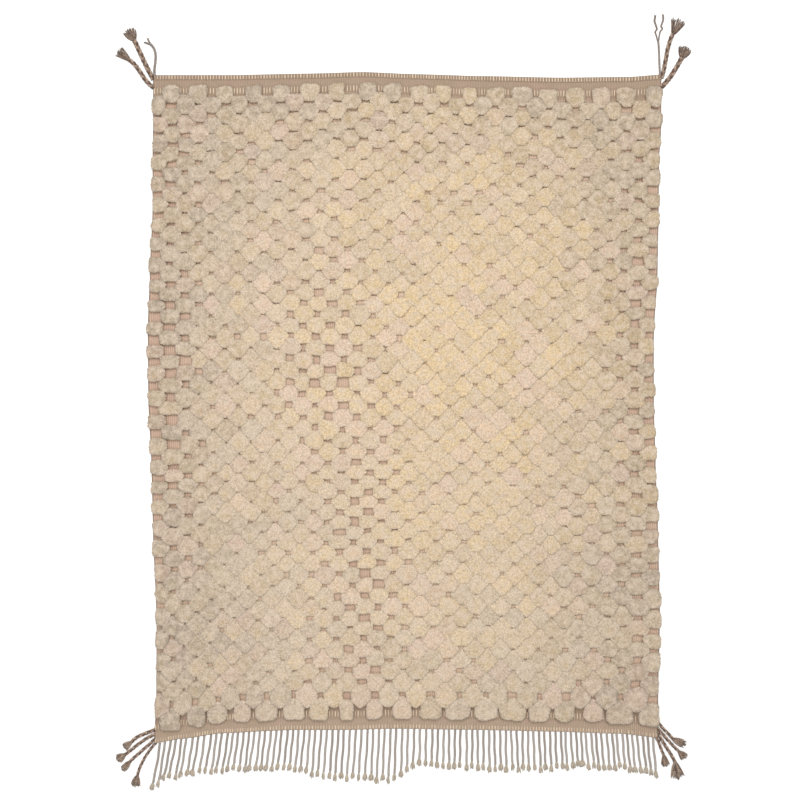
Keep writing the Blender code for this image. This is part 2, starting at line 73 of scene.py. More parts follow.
END_BOW = (
    # across from the left, closed end, fringed end
    (0.00, 0.000, 0.036), (0.06, 0.000, 0.019), (0.15, 0.000, -0.003), (0.30, 0.006, -0.016),
    (0.40, 0.012, -0.016), (0.50, 0.004, -0.021), (0.65, -0.004, -0.0165), (0.80, -0.010, -0.010),
    (0.94, -0.007, -0.001), (1.00, 0.002, 0.015),
)
# The lattice of cells strays from an even one, as a hand-woven one does
COLUMNS_AT = (0.07, 0.24, 0.34, 0.44, 0.64, 0.83, 0.93)  # shares of the width where strays are given
COLUMN_STRAY = (
    # along; how far to the right at each of those places, from the left
    (0.00, 0.004, 0.008, 0.020, 0.032, 0.009, 0.008, -0.002),
    (0.12, 0.003, -0.001, 0.013, 0.024, 0.002, -0.004, -0.013),
    (0.25, 0.001, -0.006, 0.007, 0.017, -0.011, -0.021, -0.018),
    (0.45, 0.004, -0.006, -0.012, -0.001, -0.017, -0.038, -0.033),
    (0.60, 0.018, -0.003, -0.018, -0.011, -0.023, -0.041, -0.031),
    (0.75, 0.014, -0.016, -0.026, -0.022, -0.009, -0.042, -0.030),
    (0.88, 0.002, -0.028, -0.037, -0.036, -0.019, -0.039, -0.023),
    (1.00, -0.008, -0.049, -0.045, -0.050, -0.031, -0.031, -0.033),
)
ROWS_AT = (0.08, 0.36, 0.50, 0.64, 0.80, 0.92)
ROW_STRAY = (
    # along; how far towards the fringed end at each of those places, from the left
    (0.00, 0.000, 0.000, 0.000, 0.000, 0.000, 0.000),
    (0.02, 0.003, -0.003, 0.002, 0.004, 0.009, 0.014),
    (0.07, -0.010, -0.019, -0.011, -0.009, -0.001, 0.010),
    (0.12, -0.025, -0.027, -0.020, -0.020, -0.013, 0.000),
    (0.20, -0.032, -0.036, -0.029, -0.031, -0.024, -0.010),
    (0.28, -0.052, -0.050, -0.038, -0.041, -0.033, -0.018),
    (0.38, -0.060, -0.049, -0.042, -0.045, -0.040, -0.028),
    (0.46, -0.053, -0.037, -0.030, -0.025, -0.020, -0.015),
    (0.52, -0.038, -0.028, -0.022, -0.026, -0.019, -0.024),
    (0.59, -0.021, -0.011, -0.012, -0.009, -0.013, -0.030),
    (0.66, -0.039, -0.026, -0.022, -0.018, -0.012, -0.029),
    (0.74, -0.049, -0.036, -0.042, -0.041, -0.039, -0.046),
    (0.84, -0.039, -0.030, -0.036, -0.043, -0.043, -0.053),
    (0.94, -0.034, -0.036, -0.037, -0.038, -0.043, -0.054),
    (0.975, -0.034, -0.030, -0.028, -0.026, -0.030, -0.037),
    (1.00, 0.000, 0.000, 0.000, 0.000, 0.000, 0.000),
)

STRANDS = 90
STRIP_FROM_CORNER = 0.0150
STRIP_BESIDE = 0.0065
STRAND_STRAY = 0.0016  # at the root
STRAND_CURVE = 1.2
STRAND_SWAY = 0.0024
STRAND_LENGTHS = (
    # across from the left, length
    (0.00, 0.178), (0.03, 0.152), (0.08, 0.148), (0.25, 0.156), (0.38, 0.196), (0.475, 0.206),
    (0.505, 0.148), (0.62, 0.155), (0.70, 0.160), (0.86, 0.135), (1.00, 0.148),
)
STRAND_LEANS = (
    # across from the left, how far a tip lies to the right of its root
    (0.00, -0.034), (0.06, -0.025), (1.00, 0.016),
)
STRAND_PLACES = (
    # across from the left, how far the strands stray from an even spacing
    (0.00, 0.000), (0.055, -0.004), (0.11, 0.006), (0.22, 0.001), (0.34, 0.003), (0.45, 0.014),
    (0.56, 0.027), (0.67, 0.032), (0.78, 0.031), (0.90, 0.014), (1.00, 0.000),
)
STRAND_UNEVEN = 0.008
STRIP_DEEP = 0.006
PLAITS = (
    # name, edge, from the corner, width, length, heading at root, middle, tip, tassel's heading,
    # tassel's length, tassel's spread
    ("top_left_1", "left", 0.0145, 0.0185, 0.167, 120, 115, 116, 120, 0.051, 0.042),
    ("top_left_2", "left", 0.048, 0.0170, 0.143, 148, 123, 149, 141, 0.058, 0.036),
    ("top_right_1", "right", 0.0125, 0.0170, 0.177, 70, 80, 62, 67, 0.066, 0.054),
    ("top_right_2", "right", 0.049, 0.0190, 0.139, 42, 57, 60, 69, 0.050, 0.045),
    ("bottom_left_1", "left", -0.053, 0.0140, 0.104, -154, -157, -126, -142, 0.038, 0.024),
    ("bottom_left_2", "left", -0.0345, 0.0130, 0.141, -158, -143, -143, -147, 0.037, 0.030),
    ("bottom_left_3", "left", -0.0150, 0.0125, 0.131, -135, -139, -136, -131, 0.044, 0.020),
    ("bottom_left_4", "fringed", 0.005, 0.0115, 0.147, -132, -120, -104, -100, 0.046, 0.034),
    ("bottom_right_1", "right", -0.062, 0.0120, 0.087, -57, -46, -51, -26, 0.056, 0.026),
    ("bottom_right_2", "right", -0.036, 0.0120, 0.120, -50, -48, -43, -46, 0.039, 0.030),
    ("bottom_right_3", "right", -0.0165, 0.0130, 0.128, -63, -57, -64, -79, 0.069, 0.052),
    ("bottom_right_4", "fringed", -0.0072, 0.0115, 0.075, -52, -71, -57, -79, 0.046, 0.028),
)
CORD_ENDS = (
    # name, from the left or right corner, width, length, heading at root, middle, tip,
    # length of the free ends
    ("cord_end_top_left", 0.0065, 0.0095, 0.129, 99, 87, 149, 0.015),
    ("cord_end_top_right", -0.006, 0.0080, 0.132, 94, 92, 96, 0.100),
)
FREE_ENDS = {
    # share of their length, how far the left and right one lie to the right of the cord's line there
    "cord_end_top_left": ((0.00, -0.0022, 0.0022), (0.50, -0.0030, 0.0060), (1.00, -0.0040, 0.0110)),
    "cord_end_top_right": (
        (0.00, -0.0020, 0.0020), (0.18, -0.0040, 0.0060), (0.38, -0.0085, 0.0120),
        (0.47, 0.0010, 0.0240), (0.56, -0.0010, 0.0165), (0.80, -0.0065, 0.0285),
        (1.00, -0.0010, 0.0300),
    ),
}


def scatter(a, b=0.0):
    """A repeatable unevenness from -1 to 1 for each tuft, strand or point."""
    return 2.0 * np.mod(np.sin(12.9898 * a + 78.233 * b + 1.7) * 43758.5453, 1.0) - 1.0


def smooth(values, places, at):
    """The values given at some places, read at others on a smooth curve through them."""
    found = values[0]
    for low, high, first, last in zip(places, places[1:], values, values[1:]):
        share = np.clip((at - low) / (high - low), 0.0, 1.0)
        ease = share * share * (3.0 - 2.0 * share)
        found = found + (last - first) * 0.5 * (share + ease)
    return found


def read(table, at, column):
    """The table's column at places between its rows."""
    return smooth([row[column] for row in table], [row[0] for row in table], at)


def left_edge(along):
    return -WIDTH / 2 - read(SIDE_SWAY, along, 1)


def right_edge(along):
    return WIDTH / 2 + read(SIDE_SWAY, along, 2)


def closed_edge(across):
    return CLOSED_END + read(END_BOW, across, 1)


def fringed_edge(across):
    return -FRINGED_END - read(END_BOW, across, 2)


def column_x(across, along):
    """Where a column of the lattice lies, from shares of the field's width and length."""
    inner = [read(COLUMN_STRAY, along, k + 1) for k in range(len(COLUMNS_AT))]
    strays = [left_edge(along) + WIDTH / 2, *inner, right_edge(along) - WIDTH / 2]
    return WIDTH * (across - 0.5) + smooth(strays, (0.0, *COLUMNS_AT, 1.0), across)


def row_y(across, along):
    first = closed_edge(across) - BAND
    last = fringed_edge(across) + BAND
    strays = [read(ROW_STRAY, along, k + 1) for k in range(len(ROWS_AT))]
    return first + (last - first) * along - smooth(strays, ROWS_AT, across)


def openness(across, along):
    more = sum(
        by * np.exp(-(((across - u) / du) ** 2) - ((along - v) / dv) ** 2)
        for _, u, v, du, dv, by in OPEN_PATCHES
    )
    return np.minimum(OPENNESS + more, 1.0)


def is_tuft(column, row):
    return (column + row) % 2 == 1


# ---- meshes

PLIES = 2  # the lobes of a twisted cord's section
TINY = 1e-6


def add_object(name, data):
    made = bpy.data.objects.new(name, data)
    bpy.context.scene.collection.objects.link(made)
    return made


class Forms:
    """Gathers the points and faces of many small forms, which become one joined mesh."""

    def __init__(self):
        self.points = []
        self.faces = []
        self.marks = {}
        self.count = 0

    def add(self, points, faces, **marks):
        """Adds a form. Each mark is a value, or one for each point, that the material reads by name."""
        self.points.append(np.asarray(points, float))
        self.faces += [tuple(self.count + i for i in face) for face in faces]
        for name, value in marks.items():
            self.marks.setdefault(name, []).append(np.broadcast_to(value, len(points)))
        self.count += len(points)

    def piece(self, name, material, replaces=()):
        """Makes the joined mesh, which rides on the rug."""
        mesh = bpy.data.meshes.new(name)
        mesh.from_pydata(np.concatenate(self.points).tolist(), [], self.faces)
        for mark, values in self.marks.items():
            layer = mesh.attributes.new(mark, "FLOAT", "POINT")
            layer.data.foreach_set("value", np.concatenate(values).astype(np.float32))
        mesh.polygons.foreach_set("use_smooth", [True] * len(mesh.polygons))
        mesh.materials.append(material)
        mesh.validate()
        made = add_object(name, mesh)
        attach(made, "root")
        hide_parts(*replaces)
        return made


def zip_rings(outer, inner):
    """The triangles between two rings of points that start at the same angle and go round alike."""
    outer, inner = [*outer, outer[0]], [*inner, inner[0]]
    faces, i, j = [], 0, 0
    while i < len(outer) - 1 or j < len(inner) - 1:
        if (i + 1) * (len(inner) - 1) <= (j + 1) * (len(outer) - 1):
            faces.append((outer[i], outer[i + 1], inner[j]))
            i += 1
        else:
            faces.append((outer[i], inner[j + 1], inner[j]))
            j += 1
    return faces


def sweep(path, half_wide, half_high, sides, twist=0.0, lobe=0.0):
    """The points and faces of a closed tube along a path. Its section is an ellipse, which may bulge
    into lobes that turn with the twist, in radians, as the plies of a cord do."""
    count = len(path)
    ahead = np.gradient(path, axis=0)
    ahead /= np.linalg.norm(ahead, axis=1)[:, None]
    side = np.cross(ahead, (0.0, 0.0, 1.0))
    side /= np.maximum(np.linalg.norm(side, axis=1)[:, None], TINY)
    up = np.cross(side, ahead)
    turn = np.linspace(0.0, 2 * math.pi, sides, endpoint=False)[None, :]
    bulge = 1.0 + lobe * np.cos(PLIES * (turn - np.broadcast_to(twist, count)[:, None]))
    wide = (np.broadcast_to(half_wide, count)[:, None] * np.cos(turn) * bulge)[..., None]
    high = (np.broadcast_to(half_high, count)[:, None] * np.sin(turn) * bulge)[..., None]
    points = (path[:, None] + side[:, None] * wide + up[:, None] * high).reshape(-1, 3)
    faces = []
    for k in range(count - 1):
        for i in range(sides):
            j = (i + 1) % sides
            faces.append((k * sides + i, (k + 1) * sides + i, (k + 1) * sides + j, k * sides + j))
    faces.append(tuple(range(sides)))
    faces.append(tuple(range(count * sides - 1, (count - 1) * sides - 1, -1)))
    return points, faces


# ---- materials

CREAM_COOL = (0.527, 0.429, 0.326)
CREAM_WARM = (0.608, 0.460, 0.280)
CREAM_PINK = (0.597, 0.443, 0.354)
CREAM_FADED = (0.616, 0.503, 0.392)
GOLD = (0.560, 0.410, 0.209)
# painted light: a paler cream for the tufts' skirts, to lift the shade between tufts
CREAM_PAINTED_FILL = (0.80, 0.60, 0.36)
STITCH_CREAM = (0.660, 0.535, 0.395)
# partly the field's own paler ground, partly painted light to lift the shade in the gaps between tufts
FIELD_PINK_AND_PAINTED_LIGHT = (0.500, 0.350, 0.265)
# painted light: a paler ground where the pile is closed and its gaps are narrow and shaded
CLOSED_FIELD_PAINTED_LIGHT = (0.62, 0.47, 0.35)
WEAVE_PINK = (0.428, 0.312, 0.236)
WEAVE_TAUPE = (0.402, 0.304, 0.218)
WEAVE_EDGE = (0.24, 0.165, 0.115)
FRINGE_GREIGE = (0.40, 0.355, 0.315)
FRINGE_BROWN = (0.29, 0.245, 0.21)
BRUSHED = (0.52, 0.435, 0.33)
BRAID_LIGHT = (0.42, 0.305, 0.230)
BRAID_DARK = (0.100, 0.060, 0.044)
CORD_TAUPE = (0.30, 0.26, 0.235)
CORD_DARK = (0.16, 0.12, 0.10)
WAVE_UNIT = 0.314  # between a wave texture's bands at scale 1
SPECULAR = 0.15
SHEEN_ROUGHNESS = 0.5
FAN = 9.0  # how strongly a tuft's fibres fan out
FIBRES = 60.0  # fibres in a metre


class Finish:
    """A material as nodes, built up from object coordinates and the meshes' marks."""

    def __init__(self, name, roughness, sheen):
        self.material = bpy.data.materials.new(name)
        self.material.use_nodes = True
        self.tree = self.material.node_tree
        self.inputs = self.tree.nodes["Principled BSDF"].inputs
        self.inputs["Roughness"].default_value = roughness
        self.inputs["Specular IOR Level"].default_value = SPECULAR
        self.inputs["Sheen Weight"].default_value = sheen
        self.inputs["Sheen Roughness"].default_value = SHEEN_ROUGHNESS
        self.place = self.node("ShaderNodeTexCoord").outputs["Object"]

    def feed(self, socket, value):
        """Links an output to a socket, or sets the socket to a value."""
        if isinstance(value, bpy.types.NodeSocket):
            self.tree.links.new(value, socket)
        elif socket.type == "RGBA":
            socket.default_value = (*value, 1.0)
        else:
            socket.default_value = value

    def node(self, kind, inputs=None, **settings):
        """A new node with those settings. Its inputs go by name or number."""
        made = self.tree.nodes.new(kind)
        for key, value in settings.items():
            setattr(made, key, value)
        for key, value in (inputs or {}).items():
            self.feed(made.inputs[key], value)
        return made

    def mark(self, name):
        """A mesh's mark by name, as a number."""
        return self.node("ShaderNodeAttribute", attribute_name=name).outputs["Fac"]

    def math(self, operation, a, b):
        return self.node("ShaderNodeMath", {0: a, 1: b}, operation=operation).outputs[0]

    def vector(self, operation, *values):
        inputs = dict(enumerate(values))
        return self.node("ShaderNodeVectorMath", inputs, operation=operation).outputs[0]

    def spread(self, value, low, high, *other):
        """The value's range from low to high mapped to 0 to 1, or to another one, clamped."""
        inputs = dict(enumerate((value, low, high, *other)))
        return self.node("ShaderNodeMapRange", inputs).outputs["Result"]

    def blend(self, share, a, b, how="MIX"):
        inputs = {"Factor": share, 6: a, 7: b}
        return self.node("ShaderNodeMix", inputs, data_type="RGBA", blend_type=how).outputs[2]

    def shade(self, colour, *values):
        """The colour times a value that is spread like that."""
        return self.blend(1.0, colour, self.spread(*values), "MULTIPLY")

    def noise(self, size, detail=2.0, place=None):
        """Cloudy noise whose features are about that size, in metres."""
        inputs = {"Vector": place or self.place, "Scale": 1.0 / size, "Detail": detail}
        return self.node("ShaderNodeTexNoise", inputs).outputs["Fac"]

    def cells(self, size):
        """Distance in rounded cells of about that size, in metres."""
        inputs = {"Vector": self.place, "Scale": 1.0 / size}
        return self.node("ShaderNodeTexVoronoi", inputs, feature="F1").outputs["Distance"]

    def wave(self, size, axis):
        """Slightly uneven bands across an axis, that distance apart."""
        inputs = {"Vector": self.place, "Scale": WAVE_UNIT / size, "Distortion": 1.5, "Detail Scale": 2.0}
        return self.node("ShaderNodeTexWave", inputs, bands_direction=axis).outputs["Fac"]

    def bump(self, height, distance, strength, over=None):
        inputs = {"Height": height, "Distance": distance, "Strength": strength}
        if over:
            inputs["Normal"] = over
        return self.node("ShaderNodeBump", inputs).outputs["Normal"]

    def done(self, colour, normal):
        self.feed(self.inputs["Base Color"], colour)
        self.feed(self.inputs["Normal"], normal)
        return self.material


def wool_pile():
    """Cut wool: cream tufts that differ in warmth, with the yarns' ends as fine cells, and fibres that
    fan out towards each tuft's rim. The mesh marks east and north say where in its tuft a point lies."""
    f = Finish("wool_pile", 0.95, 0.25)
    colour = f.blend(f.mark("warm"), CREAM_COOL, CREAM_WARM)
    colour = f.blend(f.mark("pink"), colour, CREAM_PINK)
    colour = f.blend(f.mark("gold"), colour, GOLD)
    # the tufts' own uneven paleness, with painted light over the middle of the pile and painted shade
    # over the first rows
    colour = f.shade(colour, f.mark("pale_tone_and_painted_light"), 0.0, 1.0, 0.76, 1.08)
    colour = f.shade(colour, f.noise(0.009, 4.0), 0.3, 0.7, 0.79, 1.16)
    colour = f.blend(f.spread(f.noise(0.024, 3.0), 0.42, 0.66, 0.0, 0.7), colour, CREAM_FADED)
    # painted light: the skirts turn paler the deeper they go, to lift the shade between tufts
    colour = f.blend(f.spread(f.mark("deep"), 0.0, 0.7), colour, CREAM_PAINTED_FILL)
    # painted shade between the yarn ends: each cell is darker towards its border
    colour = f.shade(colour, f.cells(0.0046), 0.2, 0.75, 1.07, 0.79)
    east, north = f.mark("east"), f.mark("north")
    outwards = f.vector("NORMALIZE", f.node("ShaderNodeCombineXYZ", {0: east, 1: north}).outputs[0])
    fan = f.vector("MULTIPLY", outwards, (FAN,) * 3)
    streak = f.noise(1.0, 3.0, f.vector("MULTIPLY_ADD", f.place, (FIBRES,) * 3, fan))
    out = f.math("ADD", f.math("MULTIPLY", east, east), f.math("MULTIPLY", north, north))
    rim = f.spread(out, 0.25, 1.0)
    colour = f.blend(rim, colour, f.shade(colour, streak, 0.35, 0.65, 0.84, 1.14))
    soft = f.bump(f.noise(0.0011, 3.0), 0.0006, 0.7)
    combed = f.bump(f.math("MULTIPLY", streak, rim), 0.0035, 0.8, soft)
    return f.done(colour, f.bump(f.math("SUBTRACT", 1.0, f.cells(0.0042)), 0.0014, 0.6, combed))


def flat_weave():
    """The ribbed ground: pinkish taupe wefts packed over the warps, browner at the closed end."""
    f = Finish("flat_weave", 0.92, 0.15)
    patch = f.spread(f.noise(0.09, 3.0), 0.35, 0.65)
    colour = f.blend(patch, WEAVE_TAUPE, WEAVE_PINK)
    # field and shut paint the ground between tufts paler: partly its own paler wool, partly painted light
    # against the shade in the gaps
    for mark, wool in (("field", FIELD_PINK_AND_PAINTED_LIGHT), ("shut", CLOSED_FIELD_PAINTED_LIGHT), ("brown", WEAVE_EDGE)):
        colour = f.blend(f.mark(mark), colour, wool)
    threads = f.noise(1.0, 2.0, f.vector("MULTIPLY", f.place, (140, 700, 300)))
    colour = f.shade(colour, threads, 0.3, 0.7, 0.85, 1.12)
    # painted shade: the valleys between the ribs are darker
    colour = f.shade(colour, f.mark("low"), 0.0, 1.0, 1.05, 0.75)
    picks = f.bump(f.wave(0.0022, "Y"), 0.0005, 0.6)
    return f.done(colour, f.bump(f.noise(0.0012, 2.0), 0.0004, 0.5, picks))


def twisted_yarn(name, dark, light, flecks=(0.80, 1.15)):
    """Yarn whose mark "light" mixes its two colours, and whose mark "end" turns it to brushed wool.
    Flecks darken and lighten it between two factors."""
    f = Finish(name, 0.9, 0.2)
    colour = f.blend(f.mark("light"), dark, light)
    colour = f.blend(f.mark("end"), colour, BRUSHED)
    colour = f.shade(colour, f.noise(0.0035, 3.0), 0.35, 0.65, *flecks)
    return f.done(colour, f.bump(f.noise(0.0009, 3.0), 0.0006, 0.8))


# ---- the flat weave

RIBS = 8  # ribs of the weave across each cell
RIB_TOP = 0.0052
RIB_VALLEY = 0.0038
CLOSED_RISE = 0.013  # of the ground where the pile is closed
SIDE_RISE = 0.2  # how it sets in at the sides: a power, and the less the steeper
RIB_UNEVEN = 0.0003
LINE_UNEVEN = 0.0002  # along the ribs
SELVEDGE_TOP = 0.0062
EDGE_MID = 0.0026
BAND_LINES = (
    # share of an end band's depth, how brown it is there at the closed end
    (0.00, 1.00),
    (0.04, 0.70),
    (0.10, 0.60),
    (0.32, 0.60),
    (0.36, 0.90),
    (0.41, 0.28),
    (0.70, 0.20),
)
END_CELL_BROWN = 0.45  # in the bare cells beside the bands
# the dark selvedge is partly its own brown wool, partly a painted shadow of the selvedge on the floor
SELVEDGE_BROWN_AND_SHADOW = 1.0


def build_weave(material):
    """The ground as one closed cloth, ribbed along the rug on top and flat underneath."""
    across = np.linspace(0.0, 1.0, COLUMNS * RIBS * 2 + 1)
    rib = np.arange(len(across)) % 2
    top = RIB_VALLEY + (RIB_TOP - RIB_VALLEY) * rib
    top = top + RIB_UNEVEN * scatter(np.arange(len(across)), 3.0)
    top[1] = top[2] = top[-2] = top[-3] = SELVEDGE_TOP
    top[0] = top[-1] = EDGE_MID
    selvedge = np.zeros(len(across))
    # selvedge brown, partly painted shadow on the floor
    selvedge[:2] = selvedge[-2:] = SELVEDGE_BROWN_AND_SHADOW
    lines = []
    for share, brown in BAND_LINES:
        y = closed_edge(across) - BAND * share
        lines.append((column_x(across, 0.0), y, 0.0, np.maximum(selvedge, brown), 0.0))
    half_cell = 0.5 / ROWS
    for along in (0.0, half_cell, *np.arange(1, ROWS) / ROWS, 1 - half_cell, 1.0):
        field = float(half_cell < along < 1 - half_cell)
        rise = field * CLOSED_RISE * (1 - openness(across, along)) * np.sin(math.pi * across) ** SIDE_RISE
        brown = np.maximum(selvedge, END_CELL_BROWN * (1 - field))
        lines.append((column_x(across, along), row_y(across, along), rise, brown, field))
    for share, _ in reversed(BAND_LINES):
        y = fringed_edge(across) + BAND * share
        lines.append((column_x(across, 1.0), y, 0.0, selvedge, 0.0))
    count = len(lines)
    wide = len(across)
    points = []
    marks = {"low": [], "brown": [], "field": [], "shut": []}
    for k, (x, y, rise, brown, field) in enumerate(lines):
        high = top + rise + LINE_UNEVEN * scatter(np.arange(wide), float(k))
        if k in (0, count - 1):
            high = np.full(wide, EDGE_MID)
        points.append(np.stack([x, y, high], axis=1))
        # low marks the rib valleys, which the weave's material darkens as painted shade
        for name, value in zip(marks, (1.0 - rib, brown, field, rise / CLOSED_RISE)):
            marks[name].append(np.broadcast_to(value, wide))
    rim = [(k, 0) for k in range(count - 1)] + [(count - 1, i) for i in range(wide - 1)]
    rim += [(k, wide - 1) for k in range(count - 1, 0, -1)] + [(0, i) for i in range(wide - 1, 0, -1)]
    index = {place: count * wide + n for n, place in enumerate(rim)}
    under = [(*points[k][i][:2], 0.0) for k, i in rim]
    faces = []
    for k in range(count - 1):
        a, b = k * wide, (k + 1) * wide
        faces += [(a + i, b + i, b + i + 1, a + i + 1) for i in range(wide - 1)]
    for here, there in zip(rim, [*rim[1:], rim[0]]):
        top, next_top = (k * wide + i for k, i in (here, there))
        faces.append((top, index[here], index[there], next_top))
    deep = len(BAND_LINES)
    left = [index[k, 0] for k in range(count)]
    right = [index[k, wide - 1] for k in range(count)]
    closed = [index[0, i] for i in range(wide)]
    fringed = [index[count - 1, i] for i in range(wide)]
    faces.append(tuple(closed + right[1 : deep + 1] + left[deep:0:-1]))
    for k in range(deep, count - 1 - deep):
        faces.append((left[k], right[k], right[k + 1], left[k + 1]))
    faces.append(tuple(left[-1 - deep : -1] + fringed + right[-2 : -2 - deep : -1]))
    forms = Forms()
    below = np.zeros(len(under))
    marks = {name: np.concatenate([*values, below]) for name, values in marks.items()}
    forms.add(np.concatenate([*points, under]), faces, **marks)
    return forms.piece("rug_weave", material, ["rug_body"])


STITCHES = 173  # cream stitches across each end
STITCH_WIDE = 0.0052
STITCH_HIGH = 0.0022  # above the weave
STITCH_STRAY = 0.0004
STITCH_UNEVEN = 0.05  # as a share of its length
STITCH_LIGHT = (0.85, 0.25)  # how light, and how unevenly
STITCH_ROWS = (
    # from the edge, to, only over bare cells
    (0.0020, 0.0185, False),
    (0.0520, 0.0760, True),
)
STITCH_STATIONS = (
    # share of the length, of the width, of the height
    (0.00, 0.45, 0.30),
    (0.12, 0.90, 0.85),
    (0.50, 1.00, 1.00),
    (0.88, 0.90, 0.85),
    (1.00, 0.45, 0.30),
)
STITCH_ARCH = ((-1.0, 0.0), (-0.8, 0.65), (0.0, 1.0), (0.8, 0.65), (1.0, 0.0))


def build_stitches(material):
    """The cream stitches that cross the ends: a row along each edge, and one behind the plain band."""
    forms = Forms()
    share, wide, high = np.array(STITCH_STATIONS).T[:, :, None]
    aside, up = np.array(STITCH_ARCH).T[:, None, :]
    width, last = len(STITCH_ARCH), len(STITCH_STATIONS) - 1
    faces = [tuple(range(width - 1, -1, -1)), tuple(last * width + i for i in range(width))]
    for s in range(last):
        for i in range(width):
            j = (i + 1) % width
            faces.append((s * width + i, s * width + j, (s + 1) * width + j, (s + 1) * width + i))
    for along, edge, inwards, row in ((0.0, closed_edge, -1, 0), (1.0, fringed_edge, 1, ROWS - 1)):
        for start, stop, bare in STITCH_ROWS:
            for k in range(STITCHES):
                across = (k + 0.5) / STITCHES
                if bare and is_tuft(int(across * COLUMNS), row):
                    continue
                middle = float(column_x(across, along)) + STITCH_STRAY * scatter(k, start)
                reach = (stop - start) * (1 + STITCH_UNEVEN * scatter(k, stop))
                x = middle + aside * wide * STITCH_WIDE / 2
                y = float(edge(across)) + inwards * (start + reach * share)
                z = RIB_VALLEY + up * (high * STITCH_HIGH + RIB_TOP - RIB_VALLEY)
                points = np.stack(np.broadcast_arrays(x, y, z), axis=2).reshape(-1, 3)
                light = STITCH_LIGHT[0] + STITCH_LIGHT[1] * scatter(k, 5.0)
                forms.add(points, [face[::inwards] for face in faces], light=light, end=0.0)
    return forms.piece("end_stitches", material)


# ---- the pile

TUFT_RINGS = 8  # rings of points from a tuft's middle to its rim, 6 more points in each
SKIRT = (
    # points, share of the radius, share of the rim's height
    (48, 0.995, 0.80),
    (24, 0.970, 0.45),
    (12, 0.930, 0.10),
)
COVER_OPEN = (0.06, 0.05)  # the shares of a bare cell that tufts beside it, and above and below, cover
COVER_CLOSED = (0.50, 0.54)  # and those where the pile is closed
COVER_UNEVEN = 0.07
COVER_ASIDE = 0.07  # how far an opening lies from the middle of its cell
OPEN_UNEVEN = 0.22  # between bare cells
COMBED = (0.28, -0.05, 0.14)  # near the closed end: more cover below, beside, down to this far along
LAST_COVER = 0.46  # of the last row's bare cells, by the tufts above
SQUARENESS = (3.0, 5.5)  # 2 is an ellipse, more is squarer
TUFT_UNEVEN = 0.05
TUFT_STRAY = 0.0024
TUFT_BEND = ((2, 0.035), (3, 0.035), (5, 0.02))  # lobes of a tuft's outline, and how far they reach
TUFT_TILT = 0.0034
TUFT_LEAN = (0.0012, -65.0)  # how much higher one side is, and that side's heading
TUFT_RANK = 0.0024  # how far tufts stand above and below one another
CROWN = 0.0006  # how far a tuft's top falls towards its rim
SHOULDER_FREE = 0.0048
SHOULDER_PRESSED = 0.0004
SHOULDER_STEEP = 8.0
LUMP = 0.0009  # a yarn end's relief
LUMP_BETWEEN = -0.5  # the hollows between them, as a share of it
POINT_STRAY = 0.0004
RAGGED = 0.0010  # how far the fibres of a tuft's rim stray
PRESS = 20.0  # how sharply an outline turns where a neighbour presses on it
PRESS_SHIFT = 0.6  # how far a larger tuft pushes its border out
PRESSED = (0.99, 0.05)  # pressed below this share of the free reach, and wholly so this much lower
FAR_AWAY = 1e3
ANY_TURN = (9.0, 6.0)  # angles over which a tuft's lobes and its tilt are turned
OVERLAP = 0.0036  # how far a pressed tuft leans over its neighbour
WARM_PATCH = (0.62, 0.40, 0.45, 0.50, 2)  # its middle, its reach, 2 or 4 for sharper sides
# painted light: a brighter patch over the middle of the pile
PAINTED_LIGHT_PATCH = (0.51, 0.58, 0.42, 0.72, 4)
PAINTED_SHADE_ROWS = (0.12, 0.24)  # painted shade over the first rows at the closed end: how far along the pile is duller, and by how much
WARM = 0.84  # how warm the warm patch is
WARM_UNEVEN = 0.29
FAIR_UNEVEN = 0.27
FAIR_MOST = 1.2
PINK = (1.3, 0.55, 0.8)  # how far tufts vary in it, how much less all have, and the most one has
GOLDEN = (0.32, 0.40)  # how golden the tufts are, and how unevenly
GOLDEN_COLUMN = (19, 0.7, 0.5)  # a column of more golden tufts, its width, and by how much
GOLD_SPOT = (0.35, 0.22, 0.5)  # how far below a tuft's middle it is, its spread, its strength
SIDE_REACH = -0.003
END_REACH = 0.006
NEIGHBOURS = ((-1, -1), (1, -1), (-1, 1), (1, 1), (-2, 0), (2, 0), (0, -2), (0, 2))
PILE_PIECES = 5


def tuft_template():
    """One tuft's points as (share of the radius, angle, yarn end or not, level), and its faces. Level
    0 is the top, whose points form a hexagonal lattice, and 1, 2, 3 are the rings of its skirt."""
    rows, faces = [(0.0, 0.0, 1.0, 0)], []
    before = [0]
    for k in range(1, TUFT_RINGS + 1):
        ring = []
        for i in range(6 * k):
            ring.append(len(rows))
            rows.append((k / TUFT_RINGS, 2 * math.pi * i / (6 * k), float((k + i % k) % 3 == 0), 0))
        if k == 1:
            faces += [(0, ring[i], ring[(i + 1) % 6]) for i in range(6)]
        else:
            faces += zip_rings(ring, before)
        before = ring
    for level, (count, _, _) in enumerate(SKIRT, 1):
        ring = []
        for i in range(count):
            ring.append(len(rows))
            rows.append((1.0, 2 * math.pi * i / count, float(i % 3 == 0), level))
        faces += [face[::-1] for face in zip_rings(before, ring)]
        before = ring
    faces.append(tuple(before[::-1]))
    return np.array(rows), faces


def shares(column, row):
    """A cell's middle as shares of the field's width and length."""
    return (column + 0.5) / COLUMNS, (row + 0.5) / ROWS


def cell_size(column, row):
    across, along = shares(column, row)
    wide = column_x(across + 0.5 / COLUMNS, along) - column_x(across - 0.5 / COLUMNS, along)
    long = row_y(across, along - 0.5 / ROWS) - row_y(across, along + 0.5 / ROWS)
    return wide, long


